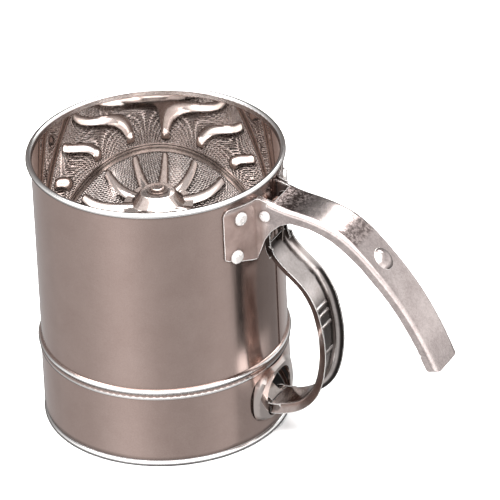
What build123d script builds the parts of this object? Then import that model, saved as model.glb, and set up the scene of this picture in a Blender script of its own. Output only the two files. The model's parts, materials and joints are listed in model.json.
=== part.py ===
from build123d import *
import math
import os

# Hand-squeezed flour sifter: canister with a fixed cloth screen, a star agitator on a centre
# shaft, and a trigger inside the handle that turns the shaft through a link strip and crank.
# Millimetres. +Z up, +X towards the handle.
# Origin: centre of the plane the bottom rim rests on.

# ---------------------------------------------------------------- shared dimensions
HEIGHT = 147.2            # overall height of the canister
BODY_R = 62.5             # outer radius of the upper body
SHEET = 0.6               # canister sheet
LOWER_R = 62.9            # outer radius below the bead
BODY_IN_R = BODY_R - SHEET
LOWER_IN_R = LOWER_R - SHEET
BEAD_Z = 41.9             # middle of the double bead

FIT = 0.02                # gap between fixed pieces that touch
SHAFT_R = 2.5
BUSH_BORE_R = SHAFT_R + 0.05

HANDLE_W = 24.0           # handle channel, outside width
HANDLE_HALF = HANDLE_W / 2
HANDLE_T = 0.9
FLANGE_R = BODY_R + 0.03  # inner radius of the two riveted flanges

RIVETS = [(21.7, 133.3), (24.7, 112.9)]     # angle from +X and height, both sides
RIVET_PLACES = [(side * angle, z) for side in (1, -1) for angle, z in RIVETS]
RIVET_SHANK_R = 1.6

PIVOT_X, PIVOT_Z = 66.5, 130.2              # trigger pivot
PIVOT_R = 1.6
TRIGGER_HALF = 19.2 / 2                     # half width across the pivot ears
LINK_PIN_X, LINK_PIN_Z = 60.5, 16.4         # pin that joins trigger and link strip
LINK_PIN_R = 1.5

CLOTH_Z0, CLOTH_T = 42.0, 0.6
CLOTH_TOP = CLOTH_Z0 + CLOTH_T
CRANK_R = 27.0
CRANK_REST_DEG = -33.0                      # crank angle from -Y at rest
CRANK_Z0, CRANK_T = 33.6, 1.5
CRANK_TOP = CRANK_Z0 + CRANK_T
CRANK_PIN_R = 2.0

STAND = (Align.CENTER, Align.CENTER, Align.MIN)   # cylinders and boxes stand on z = 0


# ---------------------------------------------------------------- helpers
def outline(points, plane=Plane.XZ):
    """Closed polygon face on a plane."""
    with BuildSketch(plane) as sketch:
        with BuildLine():
            Polyline(*points, close=True)
        make_face()
    return sketch.sketch


def spin(profile):
    return revolve(profile, Axis.Z, 360)


def ring(r0, r1, z0, z1):
    return spin(outline([(r0, z0), (r1, z0), (r1, z1), (r0, z1)]))


def disc(radius, z0, z1, x=0.0, y=0.0):
    return Pos(x, y, z0) * Cylinder(radius, z1 - z0, align=STAND)


def y_cylinder(radius, x, z, y0, y1):
    return Pos(x, y0, z) * Rot(-90, 0, 0) * Cylinder(radius, y1 - y0, align=STAND)


def xz_prism(points, y0, y1):
    # Plane.XZ faces -Y, so the extrusion runs from y1 down to y0
    return Pos(0, y1, 0) * extrude(outline(points), y1 - y0)


def xy_prism(points, z0, z1):
    return Pos(0, 0, z0) * extrude(outline(points, Plane.XY), z1 - z0)


def polar(radius, angle, x=0.0, y=0.0):
    """Point on a circle about (x, y), angle in radians."""
    return (x + radius * math.cos(angle), y + radius * math.sin(angle))


def rounded_disc(radius, height, edge_r):
    """Disc standing on z = 0 with its top edge rounded."""
    blank = Cylinder(radius, height, align=STAND)
    return fillet(blank.edges().group_by(Axis.Z)[-1], edge_r)


def radial(angle, z, radius):
    """Frame at a radius from the canister axis, its Z pointing outwards."""
    return Pos(0, 0, z) * Rot(0, 0, angle) * Pos(radius, 0, 0) * Rot(0, 90, 0)


def cut_rivet_holes(part):
    for angle, z in RIVET_PLACES:
        part -= radial(angle, z, 55) * Cylinder(RIVET_SHANK_R + FIT, 15, align=STAND)
    return part


# ---------------------------------------------------------------- canister shell
RIM_TUBE_R = 1.55         # rolled top rim
RIM_WALL = 0.55
RIM_Z = HEIGHT - RIM_TUBE_R
FOOT_TUBE_R = 1.5         # rolled bottom rim
FOOT_WALL = RIM_WALL + 0.25
FOOT_FLAT = 1.38          # height of the foot tube centre, leaves a flat land
FOOT_STEP = 0.55          # inward step of the wall just above the foot
FOOT_STEP_Z0, FOOT_STEP_Z1 = 3.6, 6.0

# outer side of the double bead: r, z from bottom to top
BEAD = [(LOWER_R, BEAD_Z - 2.9), (LOWER_R + 0.55, BEAD_Z - 1.5), (LOWER_R + 0.2, BEAD_Z - 0.35),
        (BODY_R + 1.35, BEAD_Z + 1.1), (BODY_R, BEAD_Z + 3.3)]

SEAM_Y0, SEAM_Y1 = 5.6, 8.7             # overlap of the rolled sheet, on the +X side
SEAM_Z0, SEAM_Z1 = 7.0, HEIGHT - 4.2
SEAM_BEAD_GAP = 4.2                     # seam stops this far above and below BEAD_Z

SLOT_HALF_Y = 12.5        # opening in the wall for the trigger and its link
SLOT_Z0, SLOT_Z1 = 12.4, 34.6
SLOT_TOP_R, SLOT_LOW_R = 11.6, 4.6      # the opening has an arched top
COLLAR_R = LOWER_R + 2.3                # mouth of the drawn collar
COLLAR_T = 0.75
COLLAR_SHIFT = 0.85                     # inward shift of the collar's underside
COLLAR_Z0, COLLAR_Z1 = 6.1, 38.8
UNDER_Z0, UNDER_Z1 = 6.7, 38.0


def shell_profile():
    inner_bead = [(r - SHEET, z) for r, z in BEAD]
    foot_start = (LOWER_R - 1.1, FOOT_FLAT)
    with BuildSketch(Plane.XZ) as sketch:
        with BuildLine():
            Polyline(foot_start, (LOWER_R - FOOT_STEP, FOOT_STEP_Z0), (LOWER_R, FOOT_STEP_Z1),
                     BEAD[0])
            Spline(*BEAD)
            Polyline(BEAD[-1], (BODY_R, RIM_Z), (BODY_IN_R, RIM_Z), inner_bead[-1])
            Spline(*inner_bead[::-1])
            Polyline(inner_bead[0], (LOWER_IN_R, FOOT_STEP_Z1),
                     (LOWER_IN_R - FOOT_STEP, FOOT_STEP_Z0), (LOWER_IN_R - 0.9, FOOT_FLAT),
                     foot_start)
        make_face()
    return sketch.sketch


def curl(centre_r, centre_z, radius, wall, start_deg, end_deg):
    """Open ring section of a rolled edge, angles in degrees in the RZ plane."""
    start, end = math.radians(start_deg), math.radians(end_deg)
    middle = (start + end) / 2
    outer = [polar(radius, a, centre_r, centre_z) for a in (start, middle, end)]
    inner = [polar(radius - wall, a, centre_r, centre_z) for a in (end, middle, start)]
    with BuildSketch(Plane.XZ) as sketch:
        with BuildLine():
            ThreePointArc(*outer)
            Line(outer[-1], inner[0])
            ThreePointArc(*inner)
            Line(inner[-1], outer[0])
        make_face()
    return sketch.sketch


def arch_face(grow, low, x):
    """Outline of the wall opening on the plane at x, grown outwards, by low at its lower edge."""
    half, z0, z1 = SLOT_HALF_Y + grow, SLOT_Z0 - low, SLOT_Z1 + grow
    top_r, low_r = SLOT_TOP_R + grow, SLOT_LOW_R + grow * 0.9
    inset = 1 - math.sqrt(0.5)          # corner arc midpoint, as a share of its radius
    top_in, low_in = top_r * inset, low_r * inset
    with BuildSketch(Plane.YZ.offset(x)) as sketch:
        with BuildLine():
            Line((-half + low_r, z0), (half - low_r, z0))
            ThreePointArc((half - low_r, z0), (half - low_in, z0 + low_in), (half, z0 + low_r))
            Line((half, z0 + low_r), (half, z1 - top_r))
            ThreePointArc((half, z1 - top_r), (half - top_in, z1 - top_in), (half - top_r, z1))
            Line((half - top_r, z1), (-half + top_r, z1))
            ThreePointArc((-half + top_r, z1), (-half + top_in, z1 - top_in), (-half, z1 - top_r))
            Line((-half, z1 - top_r), (-half, z0 + low_r))
            ThreePointArc((-half, z0 + low_r), (-half + low_in, z0 + low_in), (-half + low_r, z0))
        make_face()
    return sketch.sketch.faces()[0]


def canister_shell():
    shell = spin(shell_profile())
    rim_r = BODY_IN_R + RIM_TUBE_R
    shell += spin(curl(rim_r, RIM_Z, RIM_TUBE_R, RIM_WALL, -112, 180))
    foot_r = LOWER_R + 0.35 - FOOT_TUBE_R
    foot = spin(curl(foot_r, FOOT_FLAT, FOOT_TUBE_R, FOOT_WALL, -178, 118))
    foot -= disc(80, -10, 0)
    shell += foot

    # lap seam, a raised strip interrupted at the bead
    seam = xy_prism([(58.0, SEAM_Y0), (66, SEAM_Y0), (66, SEAM_Y1), (58.0, SEAM_Y1)],
                    SEAM_Z0, SEAM_Z1)
    seam &= ring(BODY_R - 0.2, BODY_R + 0.42, SEAM_Z0, SEAM_Z1)
    seam -= disc(80, BEAD_Z - SEAM_BEAD_GAP, BEAD_Z + SEAM_BEAD_GAP)
    shell += seam

    # out-drawn collar around the opening: a sloped crater whose mouth stands off the wall
    crater = loft([arch_face(8.8, 3.2, 60.4), arch_face(0.8, 0.4, 66.0)])
    under = Pos(-COLLAR_SHIFT, 0, 0) * crater
    crater &= ring(30.0, COLLAR_R, COLLAR_Z0, COLLAR_Z1)
    under &= ring(30.0, COLLAR_R - COLLAR_T, UNDER_Z0, UNDER_Z1)
    shell += crater & ring(LOWER_R - 0.3, COLLAR_R, COLLAR_Z0, COLLAR_Z1)
    shell -= under & ring(58.0, COLLAR_R, UNDER_Z0, UNDER_Z1)
    shell -= extrude(arch_face(0.0, 0.0, 50.0), 30.0, dir=(1, 0, 0))
    return cut_rivet_holes(shell)


# ---------------------------------------------------------------- screen
HOOP_IN_R, HOOP_OUT_R = 57.6, 62.35
HOOP_Z0 = 41.4
EYELET_R, EYELET_FLANGE_R = 4.1, 7.2
# upturned L section: r, z
CLAMP_PROFILE = [(57.4, CLOTH_TOP + FIT), (61.75, CLOTH_TOP + FIT), (61.75, 44.9), (61.2, 44.9),
                 (61.2, 43.4), (57.4, 43.4)]


def screen_hoop():
    """Flat ring under the cloth, with a skirt."""
    hoop = ring(HOOP_IN_R, HOOP_OUT_R, HOOP_Z0, CLOTH_Z0)
    return hoop + ring(61.2, 61.75, 37.2, HOOP_Z0 + 0.2)


def screen_cloth():
    return ring(4.2, 61.0, CLOTH_Z0 + FIT, CLOTH_TOP)


def screen_clamp_ring():
    return spin(outline(CLAMP_PROFILE))


def centre_eyelet():
    """Clamps the cloth between two flanges and guides the shaft."""
    barrel = ring(BUSH_BORE_R, EYELET_R, 40.6, 44.0)
    upper = ring(BUSH_BORE_R, EYELET_FLANGE_R, CLOTH_TOP + FIT, 43.3)
    lower = ring(BUSH_BORE_R, EYELET_FLANGE_R, 41.3, CLOTH_Z0)
    return barrel + upper + lower


# ---------------------------------------------------------------- cross strap and its bush
STRAP_W, STRAP_T = 15.0, 1.2
STRAP_HALF = 61.35
STRAP_Z0 = 37.0
RISER_IN_R, RISER_OUT_R = 60.2, 61.1
RISER_Z0, RISER_Z1 = 35.7, 38.2
TAB_Z0, TAB_Z1 = 29.0, 36.2       # end tabs that lie against the wall
TAB_R = LOWER_IN_R - 0.05


def strap_band(z0, z1):
    """Block along Y as wide as the strap, used to cut arcs out of rings."""
    return Pos(0, 0, (z0 + z1) / 2) * Box(STRAP_W, 200, z1 - z0)


def bridge_bar():
    bar = Pos(0, 0, STRAP_Z0) * Box(STRAP_W, 2 * STRAP_HALF, STRAP_T, align=STAND)
    bar &= ring(0.001, RISER_OUT_R, 30.0, 45.0) + disc(10, 30, 45)
    tab_band = strap_band(TAB_Z0, TAB_Z1)
    tabs = ring(61.5, TAB_R, TAB_Z0, TAB_Z1) & tab_band
    knees = ring(RISER_IN_R, TAB_R, RISER_Z0, 36.6) & tab_band
    risers = (ring(RISER_IN_R, RISER_OUT_R, RISER_Z0, RISER_Z1)
              & strap_band(RISER_Z0, RISER_Z1))
    bar = bar + risers + knees + tabs
    return bar - disc(3.6, 30, 45)


def bridge_bush():
    return ring(BUSH_BORE_R, 3.55, 36.2, 38.9) + ring(BUSH_BORE_R, 5.6, 36.2, 36.95)


# ---------------------------------------------------------------- agitator
SHAFT_Z0, SHAFT_Z1 = 31.2, 53.2
SHAFT_HEAD_R = 3.6
SHAFT_HEAD_T = 0.5

STAR_ARMS = 8
STAR_PHASE = 15.4
STAR_T = 0.8
STAR_TIP_R = 53.6
STAR_CREST = 47.5               # top of the arms
ARM_W, ARM_ARCH_R = 9.0, 6.4    # arm width and arch radius across it
ARM_START = 12.2                # inner end of each arm
ARM_BEND_R, ARM_BEND_DEG = 5.5, 62.0
ARM_TIP_LEN = 0.9               # straight end beyond the bend

# conical hub: r, z
HUB_PROFILE = [(BUSH_BORE_R, 52.3), (8.6, 52.3), (13.4, 46.9), (17.6, 46.9), (17.6, 46.1),
               (13.0, 46.1), (8.2, 51.5), (BUSH_BORE_R, 51.5)]
HUB_BENDS = (8.6, 13.4, 8.2, 13.0)      # radii of the profile corners that are rounded
HUB_BEND_R = 1.1


def agitator_shaft():
    head_top = SHAFT_Z1 + SHAFT_HEAD_T
    dome = Pos(0, 0, head_top) * rounded_disc(SHAFT_HEAD_R, 0.9, 0.85)
    shaft = disc(SHAFT_R, SHAFT_Z0, SHAFT_Z1)
    return shaft + disc(SHAFT_HEAD_R, SHAFT_Z1, head_top) + dome


def hub_sleeve():
    return ring(BUSH_BORE_R, 4.6, 44.05, 51.4)


def hub_washer():
    return ring(BUSH_BORE_R, 5.2, 52.32, 53.15)


def arm_section():
    """Arched strip section at the inner end of an arm."""
    half = math.asin(ARM_W / 2 / ARM_ARCH_R)
    centre_z = STAR_CREST - ARM_ARCH_R

    def arch(radius, side):
        return [polar(radius, math.pi / 2 - a, 0, centre_z) for a in (-side, 0, side)]

    upper, lower = arch(ARM_ARCH_R, half), arch(ARM_ARCH_R - STAR_T, -half)
    with BuildSketch(Plane.YZ.offset(ARM_START)) as sketch:
        with BuildLine():
            ThreePointArc(*upper)
            Line(upper[-1], lower[0])
            ThreePointArc(*lower)
            Line(lower[-1], upper[0])
        make_face()
    return sketch.sketch


def star_arm():
    """One arm along +X, turned down at its tip."""
    bend = math.radians(ARM_BEND_DEG)
    bend_x = STAR_TIP_R - ARM_BEND_R * math.sin(bend) - 0.9
    start, middle, end = [
        polar(ARM_BEND_R, math.pi / 2 - a, bend_x, STAR_CREST - ARM_BEND_R)
        for a in (0, bend / 2, bend)
    ]
    with BuildLine(Plane.XZ) as path:
        Line((ARM_START, STAR_CREST), start)
        ThreePointArc(start, middle, end)
        Line(end, polar(ARM_TIP_LEN, -bend, *end))
    arm = sweep(arm_section(), path=path.wire())
    # keep the arm clear of the cloth
    return arm & disc(STAR_TIP_R + 0.2, CLOTH_TOP + 0.25, 60)


def agitator_star():
    hub = outline(HUB_PROFILE)
    bends = [v for v in hub.vertices() if any(abs(v.X - r) < 0.01 for r in HUB_BENDS)]
    star = spin(fillet(bends, HUB_BEND_R))
    arm = star_arm()
    for i in range(STAR_ARMS):
        star += Rot(0, 0, STAR_PHASE + i * 360 / STAR_ARMS) * arm
    return star


# ---------------------------------------------------------------- crank
CRANK_W = 9.0
CRANK_PIN_NECK_R = CRANK_PIN_R - 0.5    # reduced end of the pin, through the arm
CRANK_TURN = Rot(0, 0, CRANK_REST_DEG)  # crank pieces are built along -Y, then turned


def crank_arm():
    crank = Pos(0, -CRANK_R / 2, CRANK_Z0) * Box(CRANK_W, CRANK_R, CRANK_T, align=STAND)
    crank += disc(6.0, CRANK_Z0, CRANK_TOP) + disc(5.0, CRANK_Z0, CRANK_TOP, y=-CRANK_R)
    crank -= disc(SHAFT_R + FIT, 30, 40)
    crank -= disc(CRANK_PIN_NECK_R + FIT, 30, 40, y=-CRANK_R)
    return CRANK_TURN * crank


def crank_pin():
    body = disc(CRANK_PIN_R, 24.6, CRANK_Z0 - 0.01, y=-CRANK_R)
    neck = disc(CRANK_PIN_NECK_R, CRANK_Z0 - 0.5, CRANK_TOP + 0.2, y=-CRANK_R)
    head = disc(2.9, CRANK_TOP + FIT, CRANK_TOP + 0.75, y=-CRANK_R)
    return CRANK_TURN * (body + neck + head)


def crank_pin_clip():
    clip = disc(4.2, 25.2, 26.0, y=-CRANK_R)
    clip -= disc(CRANK_PIN_R + FIT, 20, 30, y=-CRANK_R)
    clip -= Pos(0, -CRANK_R - 4, 25.6) * Box(1.6, 5.0, 2.0)
    return CRANK_TURN * clip


def thrust_washer():
    return ring(BUSH_BORE_R, 5.0, CRANK_TOP + 0.05, 36.1)


def shaft_clip():
    return ring(SHAFT_R + FIT, 5.0, 32.6, 33.4) - Pos(4, 0, 33) * Box(5.0, 1.8, 2.0)


# ---------------------------------------------------------------- link strip (yoke)
LINK_Z0, LINK_T = 28.0, 1.2
LINK_MID_Z = LINK_Z0 + LINK_T / 2
LINK_HALF = 5.0                     # half width of the strip
JOGGLE_X = 48.5                     # where the strip turns down to the pin
LINK_EYE_R = LINK_PIN_R + 0.06      # bore of the pin eye

CRANK_COS = math.cos(math.radians(CRANK_REST_DEG))
YOKE_X = CRANK_R * math.sin(math.radians(CRANK_REST_DEG)) - 0.045
YOKE_Y = -(CRANK_R + CRANK_R * CRANK_COS) / 2
YOKE_HALF = (CRANK_R - CRANK_R * CRANK_COS) / 2 + CRANK_PIN_R + 0.6   # half slot length
YOKE_END_Y = YOKE_Y - YOKE_HALF - 3.2
# plan of the flat part: x, y; its +X end is trimmed at JOGGLE_X
LINK_PLAN = [(56.0, LINK_HALF), (34.0, LINK_HALF), (15.0, -14.5), (YOKE_X - 6.5, -14.5),
             (YOKE_X - 6.5, YOKE_END_Y), (YOKE_X + 7.0, YOKE_END_Y), (21.5, -24.0),
             (34.5, -LINK_HALF), (56.0, -LINK_HALF)]


def joggle():
    """Sloped tongue from the flat part, tangent to the eye's middle radius."""
    run_x, run_z = JOGGLE_X - LINK_PIN_X, LINK_MID_Z - LINK_PIN_Z
    reach = math.hypot(run_x, run_z)
    offset = LINK_EYE_R + LINK_T / 2
    slope = math.atan2(run_z, run_x) + math.asin(offset / reach)
    ux, uz = math.cos(slope), math.sin(slope)
    start_x, start_z = LINK_PIN_X + offset * uz, LINK_PIN_Z - offset * ux
    length = math.sqrt(reach * reach - offset * offset)
    end_x, end_z = start_x + ux * length, start_z + uz * length
    nx, nz = -uz * LINK_T / 2, ux * LINK_T / 2
    points = [(start_x + nx, start_z + nz), (end_x + nx, end_z + nz),
              (end_x - nx, end_z - nz), (start_x - nx, start_z - nz)]
    return xz_prism(points, -LINK_HALF, LINK_HALF)


def link_strip():
    plate = xy_prism(LINK_PLAN, LINK_Z0, LINK_Z0 + LINK_T)
    plate &= Pos(JOGGLE_X - 200, 0, 0) * Box(400, 200, 200)
    # slot for the crank pin
    with BuildSketch(Plane.XY) as slot:
        with Locations((YOKE_X, YOKE_Y)):
            SlotOverall(2 * YOKE_HALF, 2 * (CRANK_PIN_R + 0.42), rotation=90)
    plate -= Pos(0, 0, 20) * extrude(slot.sketch, 20)
    knee = y_cylinder(LINK_T / 2, JOGGLE_X, LINK_MID_Z, -LINK_HALF, LINK_HALF)
    eye = y_cylinder(LINK_EYE_R + LINK_T, LINK_PIN_X, LINK_PIN_Z, -LINK_HALF, LINK_HALF)
    link = plate + knee + joggle() + eye
    return link - y_cylinder(LINK_EYE_R, LINK_PIN_X, LINK_PIN_Z, -8, 8)


# ---------------------------------------------------------------- trigger
TRIGGER_WEB_W = 18.0
TRIGGER_SPLAY = 1.9       # each flange leans out by this much
TRIGGER_T = 0.8
TRIGGER_DEPTH = 4.6
TRIGGER_CORNER_R = 1.7
RIB_R, RIB_LEN = 1.0, 8.4
RIBS = [0.372, 0.408, 0.462, 0.59]      # rib places, as shares of the web line's length

# outer face of the web, from top to bottom: x, z
TRIGGER_LINE = [
    (65.0, 112.0), (65.3, 108.0), (66.9, 104.9), (69.8, 101.3), (74.4, 97.0), (79.0, 93.1),
    (82.6, 89.6), (85.6, 85.2), (88.4, 79.4), (90.1, 73.2), (91.3, 67.0), (91.9, 61.0),
    (92.0, 55.0), (91.5, 49.0), (90.5, 43.0), (88.8, 37.0), (86.2, 31.6), (83.0, 27.6),
    (79.0, 24.3), (74.4, 21.9), (69.2, 20.2), (63.8, 19.2)]
# side plates at the pivot and at the link pin: x, z
EAR = [
    (66.8, 104.8), (65.2, 108.0), (64.5, 112.0), (64.1, 118.0), (63.2, 126.5), (62.9, 129.8),
    (63.6, 132.3), (65.0, 133.4), (66.5, 133.75), (68.0, 133.4), (69.4, 132.3), (70.1, 130.2),
    (69.4, 127.4), (67.8, 123.0), (67.3, 117.0), (67.7, 112.0), (69.2, 107.6)]
TOE = [
    (69.0, 20.0), (63.8, 19.2), (60.5, 19.5), (58.4, 18.7), (57.3, 16.4), (58.4, 14.1),
    (60.5, 13.2), (63.5, 14.2), (69.8, 15.8)]


def web_normal(tangent):
    """Normal of the downward running web line, on its +X side."""
    return Vector(-tangent.Z, 0, tangent.X)


def trigger_section(plane):
    """Splayed channel. The web's outer face is at local x = 0 and it opens along +x."""
    half, depth, splay, wall = TRIGGER_WEB_W / 2, TRIGGER_DEPTH, TRIGGER_SPLAY, TRIGGER_T
    slant = math.hypot(depth, splay)

    def inner_y(x):
        along = (x - splay * wall / slant) * slant / depth
        return half + along * splay / slant - depth * wall / slant

    root_y, lip_y = inner_y(wall), inner_y(depth)
    with BuildSketch(plane) as sketch:
        with BuildLine():
            Polyline((depth, -half - splay), (0, -half), (0, half), (depth, half + splay),
                     (depth, lip_y), (wall, root_y), (wall, -root_y), (depth, -lip_y),
                     close=True)
        make_face()
        fillet([v for v in sketch.vertices() if abs(v.X) < 1e-4], TRIGGER_CORNER_R)
        roots = [v for v in sketch.vertices()
                 if abs(v.X - wall) < 1e-4 and abs(abs(v.Y) - root_y) < 1e-3]
        fillet(roots, TRIGGER_CORNER_R - wall)
    return sketch.sketch


def trigger_lever():
    with BuildLine(Plane.XZ) as line:
        Spline(*TRIGGER_LINE)
    path = line.wire()
    tangent = path % 0.0
    # z_dir runs against the path so that local y points along +Y
    plane = Plane(origin=path @ 0.0, x_dir=web_normal(tangent), z_dir=tangent * -1)
    lever = sweep(trigger_section(plane), path=path)
    for y0, y1 in ((-TRIGGER_HALF, -TRIGGER_HALF + TRIGGER_T),
                   (TRIGGER_HALF - TRIGGER_T, TRIGGER_HALF)):
        lever += xz_prism(EAR, y0, y1)
        lever += xz_prism(TOE, y0, y1)
    lever -= y_cylinder(PIVOT_R + 0.06, PIVOT_X, PIVOT_Z, -15, 15)
    lever -= y_cylinder(LINK_PIN_R + FIT, LINK_PIN_X, LINK_PIN_Z, -15, 15)
    # cross ribs on the web, standing towards the handle
    for share in RIBS:
        centre = path @ share + web_normal(path % share) * (TRIGGER_T - 0.15)
        rib = Rot(90, 0, 0) * Cylinder(RIB_R, RIB_LEN)
        rib = rib + Pos(0, RIB_LEN / 2, 0) * Sphere(RIB_R) + Pos(0, -RIB_LEN / 2, 0) * Sphere(RIB_R)
        lever += Pos(centre.X, 0, centre.Z) * rib
    return lever


def link_pin():
    end, face, cap = TRIGGER_HALF + 0.1, TRIGGER_HALF + FIT, TRIGGER_HALF + 0.9
    pin = y_cylinder(LINK_PIN_R, LINK_PIN_X, LINK_PIN_Z, -end, end)
    for y0, y1 in ((-cap, -face), (face, cap)):
        pin += y_cylinder(2.4, LINK_PIN_X, LINK_PIN_Z, y0, y1)
    return pin


# ---------------------------------------------------------------- handle
# outer face of the web, from the can to the free end: x, z
WEB = [
    (61.0, 139.4), (68.0, 137.9), (76.0, 135.9), (86.0, 134.6), (95.5, 132.9), (104.5, 129.9),
    (113.0, 124.7), (123.6, 115.0), (134.0, 103.6), (144.4, 89.3), (151.5, 76.8), (158.8, 60.9)]
# lower edge of the side walls, from the free end to the can: x, z
SIDE_EDGE = [
    (155.8, 60.2), (153.1, 61.3), (150.5, 66.5), (148.0, 72.8), (144.3, 79.4), (139.1, 87.9),
    (133.9, 95.3), (128.6, 101.5), (123.3, 107.1), (118.0, 112.7), (112.7, 117.2),
    (107.4, 121.1), (102.0, 124.4), (96.6, 126.5), (91.2, 128.1), (85.7, 128.6), (80.2, 129.0),
    (78.0, 128.2), (74.6, 126.6), (71.8, 124.2), (69.5, 122.0), (67.7, 119.3), (65.9, 116.6),
    (64.7, 113.4), (63.5, 110.2), (61.7, 106.0)]

END_R = 4.5                             # corner radius of the free end
END_H = 14.0                            # height of the rounded end outline
END_DIR_X, END_DIR_Z = 0.909, 0.417     # outward normal of the web at the free end

FLANGE_END = math.radians(31.0)         # angle of the flange edge from +X
FLANGE_Z0, FLANGE_Z1 = 105.5, 140.6
FLANGE_FOLD_R = 1.9
FLANGE_WALL_X = 67.5                    # where the flange piece ends in the side wall
# side view of flange and fold: x, z
FLANGE_TRIM = [
    (40.0, 122.0), (54.3, 112.8), (57.6, 110.2), (60.2, 107.8), (61.9, 105.7), (63.5, 110.2),
    (64.7, 113.4), (65.9, 116.6), (67.7, 119.3), (67.7, 138.1), (64.0, 139.2), (61.0, 139.6),
    (57.0, 140.6), (40.0, 142.2)]
# rounded flange corners: height of arc centre, up (1) or down (-1), radius
FLANGE_CORNERS = [(FLANGE_Z0 + 8.36, -1, 1.5), (FLANGE_Z1 - 3.9, 1, 4.0)]

DIMPLE_X, DIMPLE_Z = 125.2, 113.5       # place on the web
DIMPLE_DIR_X, DIMPLE_DIR_Z = 0.70, 0.714
DIMPLE_R, DIMPLE_SINK = 9.0, 6.9        # sphere, and how far its centre is sunk


def inset_web(inset):
    """Web line moved in by inset."""
    points = []
    for i, (x, z) in enumerate(WEB):
        x0, z0 = WEB[max(i - 1, 0)]
        x1, z1 = WEB[min(i + 1, len(WEB) - 1)]
        chord = math.hypot(x1 - x0, z1 - z0)
        points.append((x + (z1 - z0) / chord * inset, z - (x1 - x0) / chord * inset))
    return points


def channel(half_width, inset, corner, bottom):
    """Solid under the inset web line, closed through the bottom points, long edges rounded."""
    top = inset_web(inset)
    with BuildSketch(Plane.XZ) as sketch:
        with BuildLine():
            Spline(*top)
            Polyline(top[-1], *bottom, top[0])
        make_face()
    solid = Pos(0, half_width, 0) * extrude(sketch.sketch, 2 * half_width)
    long_edges = [e for e in solid.edges() if e.length > 100 and e.geom_type != GeomType.LINE]
    return fillet(long_edges, corner)


def end_corner_cut():
    """Pieces outside the rounded outline of the free end."""
    end_x, end_z = WEB[-1]
    plane = Plane(origin=(end_x, 0, end_z), x_dir=(0, 1, 0),
                  z_dir=Vector(END_DIR_X, 0, END_DIR_Z))
    with BuildSketch(plane) as sketch:
        Rectangle(40, END_H)
        RectangleRounded(HANDLE_W + 0.02, END_H, END_R, mode=Mode.SUBTRACT)
    cut = extrude(sketch.sketch, 14, both=True)
    # the sketch is centred on the free edge: move it up so its lower half outlines the end
    cut = Pos(-END_H / 2 * END_DIR_Z, 0, END_H / 2 * END_DIR_X) * cut
    return cut & Pos(end_x, 0, end_z) * Rot(0, 24.6, 0) * (Pos(0, 0, -2.0) * Box(40, 60, 13.0))


def flange():
    """Flange on the can at +Y, with the fold that turns into the side wall."""
    inner_r, outer_r = FLANGE_R, FLANGE_R + HANDLE_T
    # fold circle, tangent to the flange's outer face and to the side wall's outer face
    fold_y = HANDLE_HALF + FLANGE_FOLD_R
    fold_x = math.sqrt((outer_r + FLANGE_FOLD_R) ** 2 - fold_y ** 2)
    start = math.atan2(fold_y, fold_x)
    out_start, in_start = polar(outer_r, start), polar(inner_r, start)
    out_wall, in_wall = (fold_x, HANDLE_HALF), (fold_x, HANDLE_HALF - HANDLE_T)
    middle_dir = math.atan2((out_start[1] - fold_y) + (out_wall[1] - fold_y),
                            (out_start[0] - fold_x) + (out_wall[0] - fold_x))
    out_fold = polar(FLANGE_FOLD_R, middle_dir, fold_x, fold_y)
    in_fold = polar(FLANGE_FOLD_R + HANDLE_T, middle_dir, fold_x, fold_y)
    middle = (start + FLANGE_END) / 2
    out_end, in_end = polar(outer_r, FLANGE_END), polar(inner_r, FLANGE_END)
    with BuildSketch(Plane.XY) as sketch:
        with BuildLine():
            ThreePointArc(out_end, polar(outer_r, middle), out_start)
            ThreePointArc(out_start, out_fold, out_wall)
            Polyline(out_wall, (FLANGE_WALL_X, HANDLE_HALF),
                     (FLANGE_WALL_X, HANDLE_HALF - HANDLE_T), in_wall)
            ThreePointArc(in_wall, in_fold, in_start)
            ThreePointArc(in_start, polar(inner_r, middle), in_end)
            Line(in_end, out_end)
        make_face()
    part = Pos(0, 0, FLANGE_Z0 - 3) * extrude(sketch.sketch, FLANGE_Z1 - FLANGE_Z0 + 6)
    part &= xz_prism(FLANGE_TRIM, -60, 60)
    for z, up, radius in FLANGE_CORNERS:
        size = radius + 4
        block = Pos(0, size / 2, up * size / 2) * Box(40, size, size)
        block -= Rot(0, 90, 0) * Cylinder(radius, 60)
        part -= Rot(0, 0, FLANGE_END) * Pos(63.0, -radius, z) * block if False else (
            Rot(0, 0, math.degrees(FLANGE_END)) * Pos(63.0, -radius, z) * block)
    return part


def handle():
    inner = channel(HANDLE_HALF - HANDLE_T, HANDLE_T, 2.1, [(157.5, 40.0), (60.0, 40.0)])
    part = channel(HANDLE_HALF, 0.0, 3.0, SIDE_EDGE) - inner
    # square off the lowest tip of the free end
    part -= xz_prism([(150.0, 50.0), (163.0, 50.0), (163.0, 59.9), (150.0, 59.9)], -20, 20)
    # web starts clear of the can
    part -= Pos(62.0, 0, 138.0) * Box(16.0, 2 * (HANDLE_HALF - 3.2), 12.0)
    part -= end_corner_cut()

    side_flange = flange()
    part += side_flange
    part += mirror(side_flange, Plane.XZ)
    # keep the side walls off the can wall
    part -= disc(FLANGE_R, 80, 160)

    # raised dimple on the outer face of the web
    ball = Pos(DIMPLE_X - DIMPLE_DIR_X * DIMPLE_SINK, 0,
               DIMPLE_Z - DIMPLE_DIR_Z * DIMPLE_SINK) * Sphere(DIMPLE_R)
    limit = channel(HANDLE_HALF - 2.5, -2.2, 1.0, [(157.0, 50.0), (62.0, 60.0)])
    part += ball & (limit - inner)

    part -= y_cylinder(PIVOT_R + FIT, PIVOT_X, PIVOT_Z, -15, 15)
    return cut_rivet_holes(part)


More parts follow.
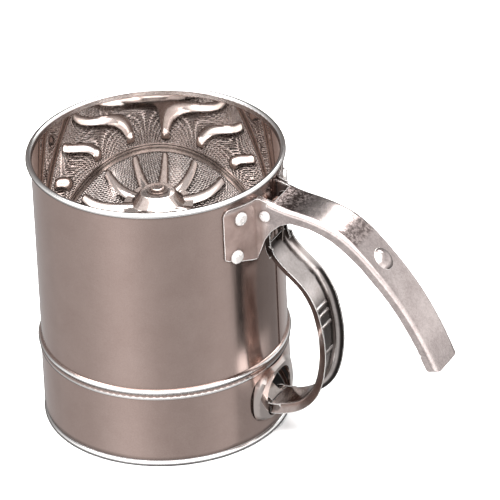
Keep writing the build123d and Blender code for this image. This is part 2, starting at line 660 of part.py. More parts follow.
# ---------------------------------------------------------------- rivets and pivot pin
RIVET_SEAT_R = FLANGE_R + HANDLE_T + FIT            # radius where the rivet heads sit
RIVET_LEN = RIVET_SEAT_R - (BODY_IN_R - 0.9)


def handle_rivets():
    head = rounded_disc(3.7, 1.9, 1.75)
    tail = Pos(0, 0, -RIVET_LEN - 0.1) * Cylinder(2.8, 0.85, align=STAND)
    tail = fillet(tail.edges().group_by(Axis.Z)[0], 0.5)
    rivet = head + disc(RIVET_SHANK_R, -RIVET_LEN, 0.5) + tail
    return Compound(children=[radial(angle, z, RIVET_SEAT_R) * rivet
                              for angle, z in RIVET_PLACES])


def trigger_pivot_pin():
    end = HANDLE_HALF + 0.3
    pin = y_cylinder(PIVOT_R, PIVOT_X, PIVOT_Z, -end, end)
    head = rounded_disc(3.0, 1.25, 1.1)
    for side in (1, -1):
        place = Pos(PIVOT_X, side * (HANDLE_HALF + FIT), PIVOT_Z)
        pin += place * Rot(-90 * side, 0, 0) * head
    return pin


# ---------------------------------------------------------------- torsion return spring
WIRE_R, COIL_R = 0.45, 2.75
COIL_TURNS, COIL_PITCH = 4.75, 1.5
COIL_LEN = COIL_TURNS * COIL_PITCH


def spring_leg(x, y, z, angle, length):
    """Straight wire leg in the coil's own frame, angle in the XY plane."""
    wire = Rot(0, 0, angle) * Rot(0, 90, 0) * Cylinder(WIRE_R, length, align=STAND)
    return Pos(x, y, z) * wire + Pos(x, y, z) * Sphere(WIRE_R * 1.03)


def return_spring():
    helix = Helix(pitch=COIL_PITCH, height=COIL_LEN, radius=COIL_R)
    with BuildSketch(Plane(origin=helix @ 0, x_dir=(1, 0, 0), z_dir=helix % 0)) as section:
        Circle(WIRE_R)
    spring = sweep(section.sketch, path=helix, is_frenet=True)
    spring = spring + spring_leg(COIL_R, 0, 0, -95.0, 22.0)
    spring = spring + spring_leg(0, -COIL_R, COIL_LEN, 19.0, 17.0)
    return Pos(PIVOT_X, COIL_LEN / 2, PIVOT_Z) * Rot(90, 0, 0) * spring


# ---------------------------------------------------------------- export
PIECES = [
    canister_shell, screen_hoop, screen_cloth, screen_clamp_ring, centre_eyelet, bridge_bar,
    bridge_bush, agitator_shaft, hub_sleeve, hub_washer, agitator_star, crank_arm, crank_pin,
    crank_pin_clip, thrust_washer, shaft_clip, link_strip, trigger_lever, link_pin, handle,
    handle_rivets, trigger_pivot_pin, return_spring]

os.makedirs("parts", exist_ok=True)
for build in PIECES:
    export_step(build(), f"parts/{build.__name__}.step")
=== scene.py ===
"""Hand sifter: a tinplate can with a woven screen, an agitator, a handle and a trigger.

The can stands on z = 0 with its axis on Z; the handle reaches out along +X. The lengths are
metres, except those of the woven screen, which are millimetres.
"""

import json
import math

import bpy
from mathutils import Matrix, Vector


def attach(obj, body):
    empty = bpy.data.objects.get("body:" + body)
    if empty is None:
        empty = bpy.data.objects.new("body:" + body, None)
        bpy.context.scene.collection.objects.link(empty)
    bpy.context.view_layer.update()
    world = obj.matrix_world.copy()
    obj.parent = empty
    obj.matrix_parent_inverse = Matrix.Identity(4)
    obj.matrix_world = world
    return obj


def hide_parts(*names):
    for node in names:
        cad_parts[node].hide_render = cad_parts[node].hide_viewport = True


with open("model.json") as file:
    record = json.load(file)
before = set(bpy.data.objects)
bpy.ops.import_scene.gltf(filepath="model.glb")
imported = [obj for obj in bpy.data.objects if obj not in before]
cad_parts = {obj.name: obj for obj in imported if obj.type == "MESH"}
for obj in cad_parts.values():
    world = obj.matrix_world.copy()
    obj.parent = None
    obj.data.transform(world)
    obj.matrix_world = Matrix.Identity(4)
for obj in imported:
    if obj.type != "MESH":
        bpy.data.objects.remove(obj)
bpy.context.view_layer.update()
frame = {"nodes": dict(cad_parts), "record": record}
scene = bpy.context.scene

MM = 0.001
WELD_DISTANCE = 2e-6
FOLD_ANGLE = 32.0        # degrees; sharper folds stay crisp
RIVET_FOLD_ANGLE = 62.0

# Woven screen, in millimetres
SCREEN_PITCH = 2.1
SCREEN_WIRE_RADIUS = 0.29
SCREEN_RADIUS = 60.6
SCREEN_HOLE_RADIUS = 4.4
SCREEN_HEIGHT = 42.31
SCREEN_WIRE_SIDES = 6
SCREEN_SWING = SCREEN_WIRE_RADIUS * 0.98  # rise and fall of each wire about mid height

FLOOR_HALF_SIZE = 6.0
FLOOR_Z = -0.00005
LIGHT_AIM_Z = 0.07


# ------------------------------------------------------------------ objects
def add_object(name, data):
    ob = bpy.data.objects.new(name, data)
    scene.collection.objects.link(ob)
    return ob


def add_mesh(name, verts, faces):
    mesh = bpy.data.meshes.new(name)
    mesh.from_pydata(verts, [], faces)
    mesh.update()
    return add_object(name, mesh)


def shade_smooth(mesh):
    mesh.polygons.foreach_set("use_smooth", [True] * len(mesh.polygons))


def soften(ob, angle):
    """Weld the split vertices and shade smooth, keeping folds sharper than angle."""
    attributes = ob.data.attributes
    if "custom_normal" in attributes:
        attributes.remove(attributes["custom_normal"])
    shade_smooth(ob.data)
    weld = ob.modifiers.new("weld", "WELD")
    weld.merge_threshold = WELD_DISTANCE
    split = ob.modifiers.new("split", "EDGE_SPLIT")
    split.split_angle = math.radians(angle)


# ------------------------------------------------------------------ node graphs
def rgba(value):
    """Opaque colour from an (r, g, b) tuple or a grey level."""
    return (*value, 1) if isinstance(value, tuple) else (value, value, value, 1)


class Graph:
    """Builds shader nodes; an input is given as a socket to link or a plain value."""

    # data type: first input, second input, output
    MIX_SOCKETS = {"FLOAT": (2, 3, 0), "VECTOR": (4, 5, 1), "RGBA": (6, 7, 2)}

    def __init__(self, owner):
        owner.use_nodes = True
        self.tree = owner.node_tree
        self.tree.nodes.clear()

    def feed(self, socket, value):
        if isinstance(value, bpy.types.NodeSocket):
            self.tree.links.new(value, socket)
        else:
            socket.default_value = rgba(value) if socket.type == "RGBA" else value

    def node(self, kind, inputs=None, **settings):
        node = self.tree.nodes.new(kind)
        for key, value in settings.items():
            setattr(node, key, value)
        for key, value in (inputs or {}).items():
            self.feed(node.inputs[key], value)
        return node

    def geometry(self):
        return self.node("ShaderNodeNewGeometry").outputs

    def light_path(self, output):
        return self.node("ShaderNodeLightPath").outputs[output]

    def split(self, vector):
        return self.node("ShaderNodeSeparateXYZ", {0: vector}).outputs

    def calc(self, operation, *values):
        inputs = dict(enumerate(values))
        return self.node("ShaderNodeMath", inputs, operation=operation).outputs[0]

    def product(self, first, *others):
        for other in others:
            first = self.calc("MULTIPLY", first, other)
        return first

    def vector_calc(self, operation, *values):
        node = self.node("ShaderNodeVectorMath", dict(enumerate(values)), operation=operation)
        return node.outputs["Value" if operation in ("DOT_PRODUCT", "LENGTH") else "Vector"]

    def remap(self, value, span, to=(0.0, 1.0)):
        """Map span onto to, clamped; by default a mask, 0 at the start of span, 1 at its end."""
        inputs = dict(enumerate((value, *span, *to)))
        return self.node("ShaderNodeMapRange", inputs).outputs[0]

    def mix(self, factor, first, second, kind="RGBA", blend="MIX"):
        first_in, second_in, output = self.MIX_SOCKETS[kind]
        inputs = {0: factor, first_in: first, second_in: second}
        node = self.node("ShaderNodeMix", data_type=kind, blend_type=blend)
        for key, value in inputs.items():
            self.feed(node.inputs[key], value)
        return node.outputs[output]

    def mix_shader(self, factor, first, second):
        inputs = {0: factor, 1: first, 2: second}
        return self.node("ShaderNodeMixShader", inputs).outputs[0]

    def ramp(self, factor, stops):
        """Colour ramp through stops of (position, colour or grey level)."""
        node = self.node("ShaderNodeValToRGB", {0: factor})
        elements = node.color_ramp.elements
        while len(elements) < len(stops):
            elements.new(0.5)
        for element, (position, colour) in zip(elements, stops):
            element.position = position
            element.color = rgba(colour)
        return node.outputs[0]

    def azimuth(self, axes, sign):
        """Azimuth of sign * (X, Y) as 0..1, from -180 to 180 degrees."""
        x = self.product(axes["X"], sign)
        y = self.product(axes["Y"], sign)
        return self.remap(self.calc("ARCTAN2", y, x), (-math.pi, math.pi))

    def azimuth_ramp(self, azimuth, stops):
        """Ramp through stops of (azimuth in degrees, grey level)."""
        return self.ramp(azimuth, [(((deg + 180.0) % 360.0) / 360.0, v) for deg, v in stops])


class Surface(Graph):
    """A material around one Principled shader, textured in object coordinates."""

    def __init__(self, name):
        self.material = bpy.data.materials.new(name)
        super().__init__(self.material)
        self.output = self.node("ShaderNodeOutputMaterial")
        self.principled = self.node("ShaderNodeBsdfPrincipled")
        self.position = self.node("ShaderNodeTexCoord").outputs["Object"]

    def set(self, **inputs):
        """Feed Principled inputs; underscores stand for spaces."""
        for key, value in inputs.items():
            self.feed(self.principled.inputs[key.replace("_", " ")], value)

    def finish(self, shader):
        self.feed(self.output.inputs["Surface"], shader)
        return self.material

    def noise(self, scale, detail, roughness=0.6, distortion=0.0, stretch=(1, 1, 1)):
        mapping = self.node("ShaderNodeMapping", {"Vector": self.position, "Scale": stretch})
        return self.node("ShaderNodeTexNoise", {
            "Vector": mapping.outputs[0], "Scale": scale, "Detail": detail,
            "Roughness": roughness, "Distortion": distortion}).outputs["Fac"]

    def bump(self, height, strength, normal=None):
        inputs = {"Strength": strength, "Distance": 0.0006, "Height": height}
        if normal is not None:
            inputs["Normal"] = normal
        return self.node("ShaderNodeBump", inputs).outputs[0]

    def rounded_edge(self, radius):
        """Rounded-edge normal and a mask that is 1 where it leaves the surface normal."""
        rounded = self.node("ShaderNodeBevel", {"Radius": radius}, samples=6).outputs[0]
        likeness = self.vector_calc("DOT_PRODUCT", rounded, self.geometry()["Normal"])
        return rounded, self.remap(likeness, (0.995, 0.90))

    def painted_shade(self, reach, crease, rim_start, rim_full, rim):
        """Principled shader with painted shade in creases and a painted dark line where it turns
        from view.

        reach: crease distance; crease, rim: strengths; rim_start, rim_full: facing values.
        """
        facing = self.node("ShaderNodeLayerWeight", {"Blend": 0.5}).outputs["Facing"]
        rim_mask = self.remap(facing, (rim_start, rim_full), to=(0.0, rim))
        occlusion = self.node("ShaderNodeAmbientOcclusion", {"Distance": reach}, samples=6)
        crease_mask = self.remap(occlusion.outputs["AO"], (0.35, 0.92), to=(crease, 0.0))
        # painted shade: a near-black diffuse mixed in at creases and at the rim of view
        shade_shader = self.node("ShaderNodeBsdfDiffuse", {"Color": (0.030, 0.021, 0.018)})
        return self.mix_shader(self.calc("MAXIMUM", rim_mask, crease_mask),
                               self.principled.outputs[0], shade_shader.outputs[0])


# ------------------------------------------------------------------ sheet metals
def handle_root(g, colour, patches):
    """Painted shadow next to the can, and coarse mottled painted shade on the upper face of the
    handle.

    Returns the colour and the mask of the painted shadow.
    """
    place = g.split(g.position)
    # painted shadow on the handle next to the can, darker in patches
    root_shadow = g.product(g.remap(place["X"], (0.0690, 0.0640)),
                      g.remap(place["Z"], (0.1405, 0.1375)))
    root_shadow_colour = g.ramp(patches, [(0.36, (0.175, 0.125, 0.110)), (0.64, (0.245, 0.182, 0.163))])
    colour = g.mix(root_shadow, colour, root_shadow_colour)

    x = g.split(g.position)["X"]
    normal = g.split(g.geometry()["True Normal"])
    upper_face = g.product(g.remap(normal["Z"], (0.62, 0.70)),
                           g.remap(normal["Y"], (-0.30, -0.08)))
    near_can = g.remap(x, (0.088, 0.080))
    outer_patch = g.product(g.remap(x, (0.1035, 0.1050)), g.remap(x, (0.1165, 0.1145)))
    outer_strength = 0.75
    # painted shade on the upper face near the can and on a patch further out, broken up by
    # mottling
    mottled_shade = g.product(upper_face,
                     g.calc("MAXIMUM", near_can, g.product(outer_patch, outer_strength)))
    mottle = g.ramp(g.noise(scale=520.0, detail=2.0, roughness=0.8),
                    [(0.42, (0.16, 0.12, 0.11)), (0.58, (1.0, 0.96, 0.95))])
    return g.mix(mottled_shade, colour, mottle, blend="MULTIPLY"), root_shadow


def darken_for_shade(g, colour, shade_bands):
    """Painted shade: darken by bands of (level, (source, 0 at, 1 at), ...), set by place and by
    how each face is turned; a band's masks are multiplied.
    """
    place = g.split(g.position)
    normal = g.split(g.geometry()["True Normal"])
    sources = {"y": place["Y"], "z": place["Z"], "nx": normal["X"], "ny": normal["Y"]}
    for level, *parts in shade_bands:
        mask = g.product(*[g.remap(sources[key], span) for key, *span in parts])
        colour = g.mix(mask, colour, (level, level * 0.93, level * 0.9), blend="MULTIPLY")
    return colour


def sheet_metal(name, tint, dark, rough, spread=0.10, mottling=90.0, bump=0.10, bump_scale=60.0,
                metallic=1.0, edge=0.0, speckle=0.0, root=False, shade_bands=None,
                painted_shade=(0.0014, 0.8, 0.62, 0.95, 0.75)):
    """Tinplate or plated steel, varying between dark and tint in soft patches.

    spread: range of roughness about rough; mottling, bump_scale: noise scales;
    edge: radius of rounded edges, lightened as a painted highlight; the last argument sets the
    painted shade in creases and at the rim of view, see Surface.
    """
    g = Surface(name)
    patches = g.noise(scale=mottling, detail=5.0, roughness=0.62, distortion=0.3)
    grain = g.noise(scale=1400.0, detail=3.0, roughness=0.7)
    grain_share = 0.35
    colour = g.ramp(g.mix(grain_share, patches, grain, kind="FLOAT"),
                    [(0.36, dark), (0.60, tint)])
    if speckle:
        specks = g.noise(scale=620.0, detail=3.0, roughness=0.75)
        colour = g.mix(speckle, colour, g.ramp(specks, [(0.40, 0.25), (0.56, 1.0)]),
                       blend="MULTIPLY")
    root_shadow = None
    if root:
        colour, root_shadow = handle_root(g, colour, patches)
    if shade_bands:
        colour = darken_for_shade(g, colour, shade_bands)
    normal = None
    if edge:
        normal, highlit = g.rounded_edge(edge)
        # painted highlight: rounded edges are lightened and made less metallic
        colour = g.mix(highlit, colour, (0.92, 0.89, 0.87))
        metallic = g.remap(highlit, (0.0, 1.0), to=(metallic, 0.45))
        # the painted shadow is also made less metallic
        if root_shadow is not None:
            metallic = g.product(metallic, g.remap(root_shadow, (0.0, 1.0), to=(1.0, 0.35)))
    roughness = g.remap(patches, (0.3, 0.7), to=(rough - spread / 2, rough + spread / 2))
    height = g.noise(scale=bump_scale, detail=2.5, roughness=0.5)
    g.set(Base_Color=colour, Metallic=metallic, Roughness=roughness,
          Normal=g.bump(height, bump, normal))
    return g.finish(g.painted_shade(*painted_shade))


# Painted shade on the trigger. Source, 0 at, 1 at: y and z are places, nx and ny parts of the
# face normal
TRIGGER_SHADE_BANDS = [
    # faces turned to -Y on the +Y side, low and then high
    (0.05, ("y", 0.0090, 0.0094), ("ny", -0.30, -0.5), ("z", 0.102, 0.092)),
    (0.35, ("y", 0.0090, 0.0094), ("ny", -0.30, -0.5), ("z", 0.094, 0.104)),
    # faces turned to +X in the middle of the height
    (0.30, ("z", 0.086, 0.076), ("z", 0.044, 0.054), ("nx", 0.5, 0.8)),
    # top
    (0.10, ("z", 0.102, 0.108)),
    # faces turned to -Y on the -Y side
    (0.42, ("y", -0.0088, -0.0092), ("ny", -0.35, -0.6)),
]

METALS = {
    "tin_inner": dict(
        tint=(0.80, 0.75, 0.72), dark=(0.64, 0.58, 0.55), rough=0.20, spread=0.08,
        mottling=80, bump=0.06, painted_shade=(0.0024, 0.85, 0.7, 0.97, 0.8)),
    "wire_cloth": dict(
        tint=(0.93, 0.90, 0.88), dark=(0.74, 0.69, 0.67), rough=0.25,
        mottling=300, bump=0.0, metallic=0.8, painted_shade=(0.0010, 0.95, 0.50, 0.92, 0.95)),
    "plated_small": dict(
        tint=(0.78, 0.72, 0.69), dark=(0.55, 0.48, 0.45), rough=0.16,
        mottling=200, bump_scale=200),
    "agitator_steel": dict(
        tint=(0.84, 0.81, 0.79), dark=(0.66, 0.62, 0.60), rough=0.11, spread=0.06,
        mottling=120, bump_scale=120, metallic=0.95, painted_shade=(0.0042, 0.95, 0.42, 0.85, 0.95)),
    "link_steel": dict(
        tint=(0.50, 0.45, 0.42), dark=(0.33, 0.28, 0.26), rough=0.22,
        mottling=120, bump_scale=100, edge=0.0004, painted_shade=(0.004, 0.9, 0.62, 0.95, 0.8)),
    "spring_wire": dict(
        tint=(0.50, 0.44, 0.41), dark=(0.36, 0.31, 0.29), rough=0.24,
        mottling=300, bump=0.0),
    "trigger_steel": dict(
        tint=(0.66, 0.60, 0.58), dark=(0.46, 0.41, 0.39), rough=0.15, spread=0.08,
        mottling=100, bump=0.12, bump_scale=90, edge=0.0005, shade_bands=TRIGGER_SHADE_BANDS,
        painted_shade=(0.0036, 0.92, 0.60, 0.92, 0.85)),
    "handle_steel": dict(
        tint=(0.63, 0.55, 0.53), dark=(0.47, 0.40, 0.385), rough=0.17,
        bump=0.16, bump_scale=90, edge=0.0005, speckle=0.16, root=True,
        painted_shade=(0.0018, 0.9, 0.60, 0.90, 0.85)),
    "rivet_steel": dict(
        tint=(0.90, 0.87, 0.85), dark=(0.78, 0.73, 0.70), rough=0.26, spread=0.08,
        mottling=200, bump=0.05, bump_scale=200, metallic=0.7,
        painted_shade=(0.0014, 0.85, 0.55, 0.9, 0.85)),
}


# ------------------------------------------------------------------ can
def can_highlight_mask(g, z, radius):
    """Top rim, foot and the crest of the bead, as one mask for a painted highlight."""
    top = g.remap(z, (0.1434, 0.1440))
    foot = g.remap(z, (0.0036, 0.0031))
    bead_height = g.product(g.remap(z, (0.0388, 0.0392)),
                            g.remap(z, (0.0446, 0.0450), to=(1.0, 0.0)))
    crest = g.product(g.remap(radius, (0.0632, 0.0635)), bead_height)
    return g.calc("MAXIMUM", g.calc("MAXIMUM", top, foot), crest)


def can_collar_mask(g, z, radius):
    """The wider band below the bead."""
    height = g.product(g.remap(z, (0.0385, 0.0380)), g.remap(z, (0.0100, 0.0110)))
    return g.product(g.remap(radius, (0.0635, 0.0642)), height)


def can_normal(g, normal, radial, facing, z, inside):
    """The exact cylinder normal on upright walls, the mesh normal elsewhere."""
    upright = g.calc("GREATER_THAN", g.calc("ABSOLUTE", facing), 0.9985)
    off_bead = g.calc("MAXIMUM", g.calc("LESS_THAN", z, 0.0383),
                      g.calc("GREATER_THAN", z, 0.0456))
    off_bead = g.calc("MAXIMUM", off_bead, inside)
    exact = g.node("ShaderNodeVectorMath", operation="SCALE")
    g.feed(exact.inputs[0], radial)
    g.feed(exact.inputs["Scale"], g.calc("SIGN", facing))
    return g.mix(g.product(upright, off_bead), normal, exact.outputs[0], kind="VECTOR")


def can_sheet():
    """Satin tinplate with a faint vertical grain outside, almost mirror-like inside."""
    g = Surface("tin_can")
    patches = g.noise(scale=55.0, detail=5.0, roughness=0.6, distortion=0.3)
    speckle = g.noise(scale=1500.0, detail=2.0, roughness=0.7)
    speckle_share = 0.45
    outer_colour = g.ramp(g.mix(speckle_share, patches, speckle, kind="FLOAT"),
                          [(0.30, (0.475, 0.352, 0.315)), (0.70, (0.565, 0.435, 0.392))])

    # the inside is where the normal points at the axis, within the wall and below the rim
    geometry = g.geometry()
    flat = g.vector_calc("MULTIPLY", g.position, (1, 1, 0))
    radial = g.vector_calc("NORMALIZE", flat)
    facing = g.vector_calc("DOT_PRODUCT", radial, geometry["True Normal"])
    radius = g.vector_calc("LENGTH", flat)
    wall_z = g.split(g.position)["Z"]
    below_rim = g.remap(wall_z, (0.1432, 0.1436), to=(1.0, 0.0))
    inside = g.product(g.calc("LESS_THAN", facing, -0.5),
                       g.product(g.calc("LESS_THAN", radius, 0.0622), below_rim))

    z = g.split(g.position)["Z"]
    highlit = can_highlight_mask(g, z, radius)
    inner_colour = g.ramp(patches, [(0.35, (0.78, 0.73, 0.71)), (0.65, (0.85, 0.805, 0.785))])
    colour = g.mix(inside, outer_colour, inner_colour)
    colour = g.mix(can_collar_mask(g, z, radius), colour, (0.60, 0.53, 0.50))
    # painted highlight: the rims, the foot and the bead crest turn near white
    colour = g.mix(highlit, colour, (0.97, 0.95, 0.94))
    roughness = g.mix(inside, g.remap(patches, (0.3, 0.7), to=(0.13, 0.18)),
                      g.remap(patches, (0.3, 0.7), to=(0.015, 0.03)), kind="FLOAT")

    grain = g.noise(scale=300.0, detail=3.0, stretch=(1, 1, 0.08))
    dents = g.noise(scale=24.0, detail=2.0, roughness=0.5, stretch=(1, 1, 0.6))
    dent_height = 3.0  # against the grain
    height = g.calc("MULTIPLY_ADD", dents, dent_height, grain)
    bump_strength = g.remap(inside, (0.0, 1.0), to=(0.05, 0.0))
    normal = can_normal(g, geometry["Normal"], radial, facing, wall_z, inside)
    g.set(Base_Color=colour, Metallic=1.0, Roughness=roughness,
          Normal=g.bump(height, bump_strength, normal))

    # the painted dark line at the rim of view starts earlier on the parts with the painted
    # highlight
    lit = g.painted_shade(reach=0.0024, crease=0.90, rim=0.90,
                  rim_start=g.remap(highlit, (0.0, 1.0), to=(0.93, 0.30)),
                  rim_full=g.remap(highlit, (0.0, 1.0), to=(1.0, 0.70)))
    # painted reflection: a reflection already folded four times between the walls ends in an even
    # wall tone that glows
    painted_reflection_tone = g.node("ShaderNodeEmission", {"Color": (0.40, 0.32, 0.29)}).outputs[0]
    folded = g.calc("GREATER_THAN", g.light_path("Glossy Depth"), 3.5)
    return g.finish(g.mix_shader(folded, lit, painted_reflection_tone))


# ------------------------------------------------------------------ woven screen
def weave_wire(verts, faces, index, start, end, along_x):
    """Add one capped round wire, rising and falling over the wires that cross it."""
    sides = SCREEN_WIRE_SIDES
    pitch = SCREEN_PITCH
    offset = index * pitch
    count = max(2, int(math.ceil((end - start) / (pitch / 2.0))))
    base = len(verts)
    # neighbouring wires, and the two directions, swing opposite ways
    sign = 1 if (index % 2 == 1) == along_x else -1
    for k in range(count + 1):
        along = start + (end - start) * k / count
        phase = math.pi * along / pitch
        z = SCREEN_HEIGHT + SCREEN_SWING * sign * math.cos(phase)
        slope = -SCREEN_SWING * sign * math.sin(phase) * math.pi / pitch
        tilt = 1.0 / math.hypot(1, slope)
        for side in range(sides):
            angle = 2 * math.pi * side / sides
            across = offset + math.cos(angle) * SCREEN_WIRE_RADIUS
            rise = math.sin(angle) * SCREEN_WIRE_RADIUS
            shifted = along - slope * tilt * rise
            x, y = (shifted, across) if along_x else (across, shifted)
            verts.append((x * MM, y * MM, (z + tilt * rise) * MM))

    wire_faces = []
    for k in range(count):
        for side in range(sides):
            a = base + k * sides + side
            b = base + k * sides + (side + 1) % sides
            wire_faces.append((a, b, b + sides, a + sides))
    last = base + count * sides
    wire_faces.append(tuple(range(base, base + sides))[::-1])
    wire_faces.append(tuple(range(last, last + sides)))
    # swapping x and y turns the faces over
    faces.extend(wire_faces if along_x else [face[::-1] for face in wire_faces])


def woven_screen(material):
    """Round plain-weave wire cloth with a hole in the middle."""
    verts, faces = [], []
    last_index = int(SCREEN_RADIUS // SCREEN_PITCH)
    for along_x in (True, False):
        for index in range(-last_index, last_index + 1):
            offset = index * SCREEN_PITCH
            if abs(offset) >= SCREEN_RADIUS - SCREEN_WIRE_RADIUS:
                continue
            reach = math.sqrt(SCREEN_RADIUS * SCREEN_RADIUS - offset * offset)
            spans = [(-reach, reach)]
            if abs(offset) < SCREEN_HOLE_RADIUS:
                gap = math.sqrt(SCREEN_HOLE_RADIUS * SCREEN_HOLE_RADIUS - offset * offset)
                spans = [(-reach, -gap), (gap, reach)]
            for start, end in spans:
                weave_wire(verts, faces, index, start, end, along_x)
    ob = add_mesh("woven_screen", verts, faces)
    shade_smooth(ob.data)
    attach(ob, "canister")
    ob.data.materials.append(material)
    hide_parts("screen_cloth")


# ------------------------------------------------------------------ floor
# Brightness of the floor in reflections: azimuth of the reflected ray in degrees, level
FLOOR_ROUND = [
    (-175, 0.56), (-157, 0.585), (-141, 0.62), (-127, 0.69), (-115, 0.79), (-104, 0.87),
    (-92, 0.86), (-80, 0.74), (-68, 0.64), (-57, 0.575), (-40, 0.55), (-23, 0.61),
    (-12, 0.67), (4, 0.67), (9, 0.40), (12, 0.04), (26, 0.04), (29, 0.10), (33, 0.20),
    (48, 0.26), (62, 0.28), (69, 0.30), (78, 0.5), (90, 0.6), (120, 0.52), (150, 0.52),
]
# Masks over the same azimuth
FLOOR_NEAR_SIDE = [(2, 0.0), (7, 1.0), (44, 1.0), (60, 0.0)]
FLOOR_BRIGHT_SIDE = [(6, 0.0), (12, 1.0), (31, 1.0), (40, 0.3), (58, 0.0)]


def floor_reflection(g, distance):
    """What glossy rays see, a painted reflection: the floor glows at levels round the can that
    change with distance from the origin, and almost not at all under the can, a painted shadow.
    """
    azimuth = g.azimuth(g.split(g.geometry()["Incoming"]), sign=-1.0)
    level = g.azimuth_ramp(azimuth, FLOOR_ROUND)
    near_zone = g.product(g.remap(distance, (0.120, 0.124), to=(1.0, 0.0)),
                          g.azimuth_ramp(azimuth, FLOOR_NEAR_SIDE))
    level = g.mix(near_zone, level, 0.44)
    bright_zone = g.product(g.remap(distance, (0.121, 0.125)),
                            g.remap(distance, (0.141, 0.150), to=(1.0, 0.0)),
                            g.azimuth_ramp(azimuth, FLOOR_BRIGHT_SIDE))
    level = g.mix(bright_zone, level, 2.2)
    level = g.mix(g.remap(distance, (0.45, 0.80)), level, 0.95)
    strength = g.remap(distance, (0.060, 0.068), to=(0.03, 1.0))
    return g.node("ShaderNodeEmission", {"Color": level, "Strength": strength}).outputs[0]


def floor_material():
    """Matt white, with a painted shadow that makes it nearly black under the can."""
    g = Surface("floor_white")
    white = g.ramp(g.noise(scale=3.0, detail=2.0), [(0.3, 0.93), (0.7, 0.95)])
    distance = g.vector_calc("LENGTH", g.geometry()["Position"])
    # painted shadow under the can
    outside_can = g.remap(distance, (0.0600, 0.0625), to=(0.02, 1.0))
    g.set(Base_Color=g.mix(outside_can, (0.004, 0.003, 0.003), white),
          Roughness=0.9, Specular_IOR_Level=0.1)
    return g.finish(g.mix_shader(g.light_path("Is Glossy Ray"), g.principled.outputs[0],
                                 floor_reflection(g, distance)))


def add_floor():
    s = FLOOR_HALF_SIZE
    corners = [(-s, -s), (s, -s), (s, s), (-s, s)]
    material = floor_material()
    ob = add_mesh("floor", [(x, y, FLOOR_Z) for x, y in corners], [(0, 1, 2, 3)])
    ob.data.materials.append(material)


# ------------------------------------------------------------------ lights
# Name, azimuth and elevation in degrees, distance, width, height, power in watts,
# shows in reflections
LIGHT_CARDS = [
    ("floor_fill", -60, 80, 2.4, 2.6, 2.6, 62, False),
    ("key_back", 81, 41, 1.5, 0.46, 0.40, 3.0, True),
    ("key_front", -62, 60, 1.5, 1.25, 0.62, 7.0, True),
    ("key_right", -22, 46, 1.5, 0.8, 0.5, 3.4, True),
    ("key_left", -165, 58, 1.6, 0.55, 0.45, 3.6, True),
]


def add_card(name, azimuth, elevation, distance, width, height, power, glossy):
    """Soft rectangular light facing the aim point on the can's axis."""
    a, e = math.radians(azimuth), math.radians(elevation)
    place = (distance * math.cos(e) * math.cos(a), distance * math.cos(e) * math.sin(a),
             LIGHT_AIM_Z + distance * math.sin(e))
    light = bpy.data.lights.new(name, "AREA")
    light.shape = "RECTANGLE"
    light.size = width
    light.size_y = height
    light.energy = power
    ob = add_object(name, light)
    ob.location = place
    towards = Vector((0, 0, LIGHT_AIM_Z)) - Vector(place)
    ob.rotation_euler = towards.to_track_quat("-Z", "Y").to_euler()
    ob.visible_glossy = glossy


# Sky level against height, 0 a little below the horizon and 1 at the zenith
SKY_HEIGHT = [(0.0, 0.22), (0.17, 0.21), (0.35, 0.18), (0.55, 0.14), (0.76, 0.15), (0.84, 0.45),
              (0.90, 0.92), (1.0, 1.0)]
# Sky level against azimuth in degrees
SKY_ROUND = [(-165, 0.4), (-120, 0.9), (-60, 1.0), (-12, 0.9), (28, 0.5), (70, 0.5), (92, 0.22),
             (115, 0.12), (165, 0.25)]


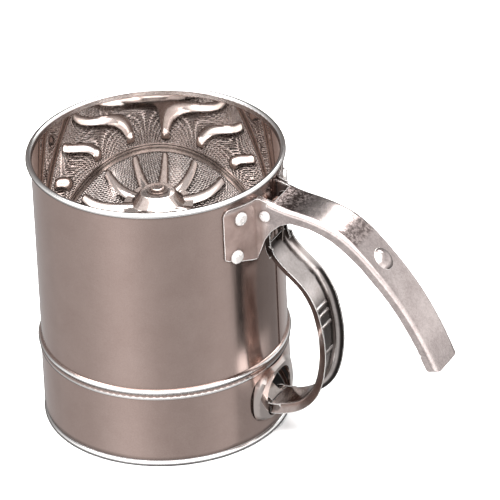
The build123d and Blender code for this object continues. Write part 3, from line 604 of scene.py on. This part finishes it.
def add_world():
    """Graded sky for lighting and reflections, plain white for the camera."""
    world = bpy.data.worlds.new("studio")
    scene.world = world
    g = Graph(world)
    output = g.node("ShaderNodeOutputWorld")
    direction = g.split(g.node("ShaderNodeTexCoord").outputs["Generated"])
    by_height = g.ramp(g.remap(direction["Z"], (-0.2, 1.0)), SKY_HEIGHT)
    by_azimuth = g.azimuth_ramp(g.azimuth(direction, sign=1.0), SKY_ROUND)
    # near the zenith the azimuth no longer counts
    zenith = g.remap(direction["Z"], (0.80, 0.92))
    by_azimuth = g.mix(zenith, by_azimuth, 0.3)
    level = g.mix(1.0, by_height, by_azimuth, blend="MULTIPLY")
    sky = g.node("ShaderNodeBackground", {"Color": level, "Strength": 12.0})
    white = g.node("ShaderNodeBackground", {"Color": 1.0, "Strength": 1.0})
    g.feed(output.inputs[0], g.mix_shader(g.light_path("Is Camera Ray"),
                                          sky.outputs[0], white.outputs[0]))


# ------------------------------------------------------------------ camera
def add_camera():
    """Long lens from the +X, -Y side, looking down at the can."""
    heading = math.radians(29.2)     # turned from +Y towards -X
    elevation = math.radians(30.74)
    roll = math.radians(-3.03)
    distance = 3.0
    target = Vector((0, 0, 0.0736))
    aim_right, aim_up = 0.04429, 0.01315  # aim point beside and above the target

    forward = Vector((-math.cos(elevation) * math.sin(heading),
                      math.cos(elevation) * math.cos(heading), -math.sin(elevation)))
    level_right = Vector((math.cos(heading), math.sin(heading), 0.0))
    level_up = level_right.cross(forward)
    right = math.cos(roll) * level_right + math.sin(roll) * level_up
    up = math.cos(roll) * level_up - math.sin(roll) * level_right
    eye = target - distance * forward
    aim = target + aim_right * right + aim_up * up
    z_axis = (eye - aim).normalized()
    x_axis = (right - right.dot(z_axis) * z_axis).normalized()
    pose = Matrix((x_axis, z_axis.cross(x_axis), z_axis)).transposed().to_4x4()
    pose.translation = eye

    data = bpy.data.cameras.new("camera")
    data.sensor_width = 36.0
    data.lens = 428.67
    data.clip_end = 50.0
    camera = add_object("camera", data)
    camera.matrix_world = pose
    scene.camera = camera


# ------------------------------------------------------------------ build
materials = {name: sheet_metal(name, **settings) for name, settings in METALS.items()}
materials["tin_can"] = can_sheet()

slots = {part["node"]: part["material_slot"] for part in frame["record"]["subparts"]}
for name, ob in frame["nodes"].items():
    ob.data.materials.clear()
    ob.data.materials.append(materials["tin_can" if name == "canister_shell" else slots[name]])
    soften(ob, RIVET_FOLD_ANGLE if name == "handle_rivets" else FOLD_ANGLE)

woven_screen(materials["wire_cloth"])
add_floor()
for card in LIGHT_CARDS:
    add_card(*card)
add_world()
add_camera()

scene.view_settings.view_transform = "Standard"
scene.view_settings.look = "None"
